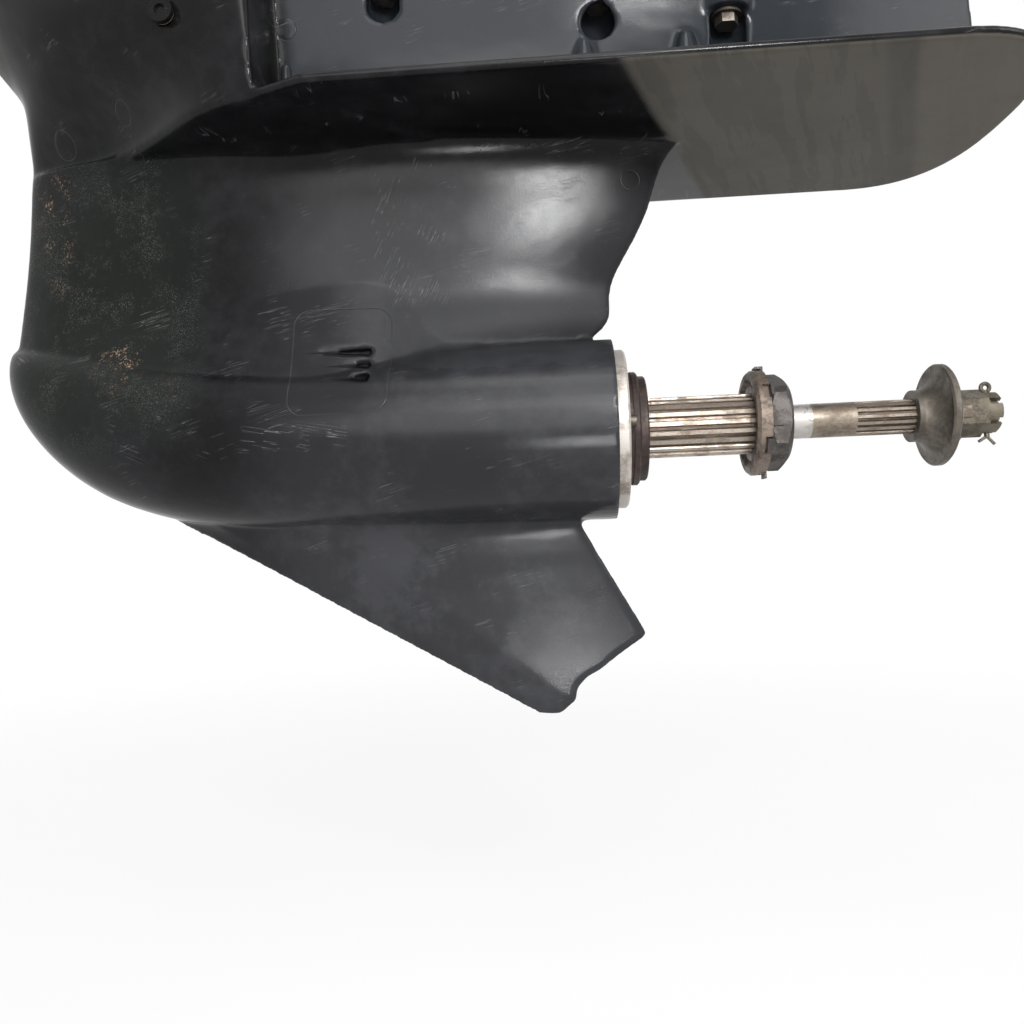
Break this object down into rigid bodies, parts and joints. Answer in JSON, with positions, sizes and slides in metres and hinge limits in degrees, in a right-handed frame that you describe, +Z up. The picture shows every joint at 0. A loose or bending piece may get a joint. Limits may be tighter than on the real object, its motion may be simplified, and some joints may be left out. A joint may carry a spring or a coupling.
{
  "type": "outboard lower unit",
  "caption": "Outboard gearcase with a skeg, a wide plate over the propeller space, a drive shaft with a water pump, bevel gears and two coaxial splined shafts that turn opposite ways.",
  "frame": {"origin": "centre of the rectangle of four studs round the drive shaft, on the drive shaft's axis, in the plane of the top mating face", "axes": "+X points aft along the propeller shafts, +Y to one flank, +Z up out of the mating face along the drive shaft"},
  "size_m": [0.7919, 0.2422, 0.7825],
  "materials": {
    "gloss_black_paint": "gloss black paint over cast aluminium, scuffed",
    "cast_aluminium": "machined, dull",
    "stainless": "stainless, lightly stained",
    "shaft_steel": "turned and ground, stained brown",
    "gear_steel": "ground, oiled",
    "dark_steel": "dark oxide",
    "dark_bronze": "tarnished bronze",
    "rubber": "nitrile, matte",
    "pump_plastic": "glass filled nylon",
    "gasket_fibre": "pressed fibre"
  },
  "bodies": {
    "case": {"gearcase_housing": "gloss_black_paint", "bearing_carrier": "cast_aluminium", "carrier_bolts": "stainless", "carrier_o_rings": "rubber", "front_bearing_cup": "gear_steel", "rear_bearing_cup": "gear_steel", "upper_bearing_cup": "gear_steel", "pinion_needle_race": "gear_steel", "pinion_needles": "gear_steel", "carrier_needle_race": "gear_steel", "carrier_needles": "gear_steel", "outer_shaft_seals": "rubber", "bearing_retainer": "gear_steel", "seal_housing": "cast_aluminium", "drive_shaft_seals": "rubber", "pump_gasket": "gasket_fibre", "pump_base_plate": "stainless", "pump_housing": "pump_plastic", "pump_liner": "stainless", "pump_bolts": "stainless", "water_tube_grommet": "rubber", "mounting_bolts": "stainless", "dowel_pins": "stainless", "oil_drain_screw": "stainless", "oil_level_screw": "stainless", "oil_screw_washers": "gasket_fibre"},
    "drive": {"drive_shaft": "shaft_steel", "pinion_gear": "gear_steel", "pinion_nut": "gear_steel", "upper_bearing_cone": "gear_steel", "upper_bearing_rollers": "gear_steel", "impeller": "rubber", "impeller_key": "stainless", "spline_o_ring": "rubber"},
    "inner_shaft": {"inner_prop_shaft": "shaft_steel", "front_gear": "gear_steel", "front_bearing_nut": "gear_steel", "front_bearing_cone": "gear_steel", "front_bearing_rollers": "gear_steel", "rear_thrust_hub": "dark_bronze", "rear_tab_washer": "stainless", "castle_nut": "stainless", "cotter_pin": "stainless"},
    "outer_shaft": {"outer_prop_shaft": "shaft_steel", "rear_gear": "gear_steel", "rear_bearing_cone": "gear_steel", "rear_bearing_rollers": "gear_steel", "inner_shaft_needles": "gear_steel", "inner_shaft_seal": "rubber", "front_thrust_hub": "dark_bronze", "front_thrust_ring": "dark_bronze", "front_tab_washer": "stainless", "front_nut": "dark_steel"}
  },
  "joints": [
    {"name": "inner_shaft_spin", "type": "hinge", "parent": "case", "child": "inner_shaft", "pos_m": [0, 0, -0.335], "axis": [1, 0, 0], "continuous": true},
    {"name": "outer_shaft_spin", "type": "hinge", "parent": "case", "child": "outer_shaft", "pos_m": [0.2, 0, -0.335], "axis": [1, 0, 0], "continuous": true},
    {"name": "drive_shaft_spin", "type": "hinge", "parent": "case", "child": "drive", "pos_m": [0, 0, 0], "axis": [0, 0, 1], "continuous": true}
  ],
  "couplings": [
    {"joint": "outer_shaft_spin", "follows": "inner_shaft_spin", "ratio": -1},
    {"joint": "drive_shaft_spin", "follows": "inner_shaft_spin", "ratio": 2.0769}
  ]
}
